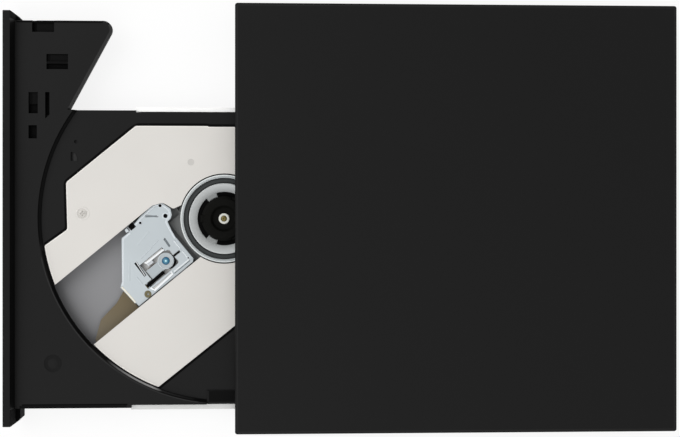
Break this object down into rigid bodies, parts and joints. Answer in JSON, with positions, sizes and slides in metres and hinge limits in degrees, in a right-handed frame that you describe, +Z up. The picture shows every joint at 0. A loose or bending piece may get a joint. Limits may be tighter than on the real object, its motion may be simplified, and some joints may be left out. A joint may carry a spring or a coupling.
{
  "type": "external disc drive",
  "caption": "Slim external disc drive: flat black case with a sliding tray that carries a turntable with a centring hub and a travelling optical pickup.",
  "frame": {"origin": "on the table under the middle of the whole object, with the tray 75 mm out", "axes": "+X from the tray's front towards the rear of the case, +Y towards the tray's wide wing, +Z up"},
  "size_m": [0.22, 0.14, 0.017],
  "materials": {
    "case_plastic": "satin black moulded plastic with a fine grain",
    "tray_plastic": "near-black moulded plastic, slightly glossy edges",
    "rubber": "matt black",
    "seat_rubber": "smooth grey-black ring",
    "screw_steel": "blackened steel",
    "sheet_steel": "bright zinc sheet",
    "guide_plastic": "dark self-lubricating plastic",
    "rail_steel": "bright rolled steel",
    "circuit_board": "green solder mask with black chips",
    "socket_plastic": "black moulded plastic",
    "socket_steel": "plated steel",
    "ribbon_film": "pale film with bright lines",
    "light_pipe": "clear greenish light pipe",
    "deck_paint": "pale warm grey painted sheet",
    "rod_steel": "ground and polished",
    "motor_steel": "plated steel and copper windings",
    "turntable_metal": "fine turned rings",
    "hub_plastic": "black moulded plastic",
    "bush_plastic": "off-white moulded plastic",
    "holder_plastic": "pale grey glass-filled plastic",
    "brass": "turned end",
    "die_cast": "die cast, dull",
    "pickup_sheet": "pale bluish pressed sheet",
    "magnet_plating": "nickel plated",
    "laser_metal": "gold-coloured housing",
    "lens_glass": "blue anti-reflection coating",
    "flex_film": "brown polyimide film with copper lines",
    "spring_steel": "bright wire"
  },
  "bodies": {
    "case": {"top_cover": "case_plastic", "bottom_cover": "case_plastic", "rubber_feet": "rubber", "case_screws": "screw_steel", "drive_base_pan": "sheet_steel", "drive_lid": "sheet_steel", "drive_lid_screws": "screw_steel", "rail_guide_left": "guide_plastic", "rail_guide_right": "guide_plastic", "main_board": "circuit_board", "bridge_board": "circuit_board", "bridge_data_socket": "socket_plastic", "usb_socket_shell": "socket_steel", "usb_socket_tongue": "socket_plastic", "ribbon_cable": "ribbon_film"},
    "left_rail": {"rail_left": "rail_steel"},
    "right_rail": {"rail_right": "rail_steel"},
    "tray": {"tray_frame": "tray_plastic", "bezel": "tray_plastic", "status_light": "light_pipe", "deck_plate": "deck_paint", "tray_screws": "screw_steel", "traverse_dampers": "rubber", "traverse_chassis": "sheet_steel", "guide_rod_main": "rod_steel", "guide_rod_side": "rod_steel", "feed_motor": "motor_steel", "feed_bracket": "sheet_steel", "spindle_motor": "motor_steel", "pickup_flex": "flex_film", "tray_bottom_shield": "sheet_steel", "front_board": "circuit_board", "eject_switch": "socket_plastic", "relay_board": "circuit_board", "solenoid": "motor_steel", "ejector_spring": "spring_steel"},
    "button": {"eject_button": "tray_plastic"},
    "spindle": {"turntable": "turntable_metal", "turntable_rubber": "seat_rubber", "hub": "hub_plastic", "hub_bush": "bush_plastic", "spindle_shaft": "brass"},
    "claw_1": {"hub_claw_1": "hub_plastic"},
    "claw_2": {"hub_claw_2": "hub_plastic"},
    "claw_3": {"hub_claw_3": "hub_plastic"},
    "pickup": {"pickup_carriage": "die_cast", "carriage_bush": "socket_plastic", "screw_follower": "guide_plastic", "pickup_cover": "pickup_sheet", "actuator_yoke": "motor_steel", "actuator_magnets": "magnet_plating", "laser_module": "laser_metal"},
    "lens_arm": {"lens_holder": "holder_plastic", "lens": "lens_glass"},
    "feed_screw": {"lead_screw": "rod_steel"},
    "latch": {"lock_lever": "bush_plastic"},
    "latch_plunger": {"solenoid_plunger": "rod_steel"},
    "release_pin": {"release_slider": "guide_plastic"},
    "push_rod": {"ejector_rod": "guide_plastic"}
  },
  "joints": [
    {"name": "tray_slide", "type": "slide", "parent": "case", "child": "tray", "axis": [1, 0, 0], "range_m": [-0.058, 0.075], "deforming": ["ribbon_cable"]},
    {"name": "left_rail_slide", "type": "slide", "parent": "case", "child": "left_rail", "axis": [1, 0, 0], "range_m": [-0.03074, 0.03975]},
    {"name": "right_rail_slide", "type": "slide", "parent": "case", "child": "right_rail", "axis": [1, 0, 0], "range_m": [-0.03074, 0.03975]},
    {"name": "spindle_spin", "type": "hinge", "parent": "tray", "child": "spindle", "pos_m": [-0.0388, 0, 0.01], "axis": [0, 0, 1], "continuous": true},
    {"name": "pickup_slide", "type": "slide", "parent": "tray", "child": "pickup", "axis": [-0.7727, -0.6347, 0], "range_m": [-0.001, 0.0335], "deforming": ["pickup_flex"]},
    {"name": "lead_screw_spin", "type": "hinge", "parent": "tray", "child": "feed_screw", "pos_m": [-0.08235, -0.00212, 0.00575], "axis": [-0.7727, -0.6347, 0], "range_deg": [-120.1, 4020.1]},
    {"name": "lens_focus", "type": "slide", "parent": "pickup", "child": "lens_arm", "axis": [0, 0, 1], "range_m": [-0.0006, 0.0006], "stiffness_N_per_m": 30},
    {"name": "eject_button_press", "type": "slide", "parent": "tray", "child": "button", "axis": [1, 0, 0], "range_m": [0, 0.0008], "stiffness_N_per_m": 800},
    {"name": "latch_turn", "type": "hinge", "parent": "tray", "child": "latch", "pos_m": [-0.101, 0.047, 0.006], "axis": [0, 0, 1], "range_deg": [0, 18]},
    {"name": "plunger_slide", "type": "slide", "parent": "tray", "child": "latch_plunger", "axis": [1, 0, 0], "range_m": [-0.0028, 0]},
    {"name": "release_push", "type": "slide", "parent": "tray", "child": "release_pin", "axis": [1, 0, 0], "range_m": [0, 0.0016], "stiffness_N_per_m": 150},
    {"name": "ejector_rod_slide", "type": "slide", "parent": "tray", "child": "push_rod", "axis": [1, 0, 0], "range_m": [-0.006, 0], "stiffness_N_per_m": 150, "deforming": ["ejector_spring"]},
    {"name": "claw_1_press", "type": "slide", "parent": "spindle", "child": "claw_1", "axis": [0.5, 0.866, 0], "range_m": [-0.0006, 0], "stiffness_N_per_m": 500},
    {"name": "claw_2_press", "type": "slide", "parent": "spindle", "child": "claw_2", "axis": [-1, 0, 0], "range_m": [-0.0006, 0], "stiffness_N_per_m": 500},
    {"name": "claw_3_press", "type": "slide", "parent": "spindle", "child": "claw_3", "axis": [0.5, -0.866, 0], "range_m": [-0.0006, 0], "stiffness_N_per_m": 500}
  ],
  "couplings": [
    {"joint": "left_rail_slide", "follows": "tray_slide", "ratio": 0.53},
    {"joint": "right_rail_slide", "follows": "tray_slide", "ratio": 0.53},
    {"joint": "lead_screw_spin", "follows": "pickup_slide", "rad_per_m": 2094.4},
    {"joint": "latch_turn", "follows": "plunger_slide", "rad_per_m": -105.26}
  ]
}
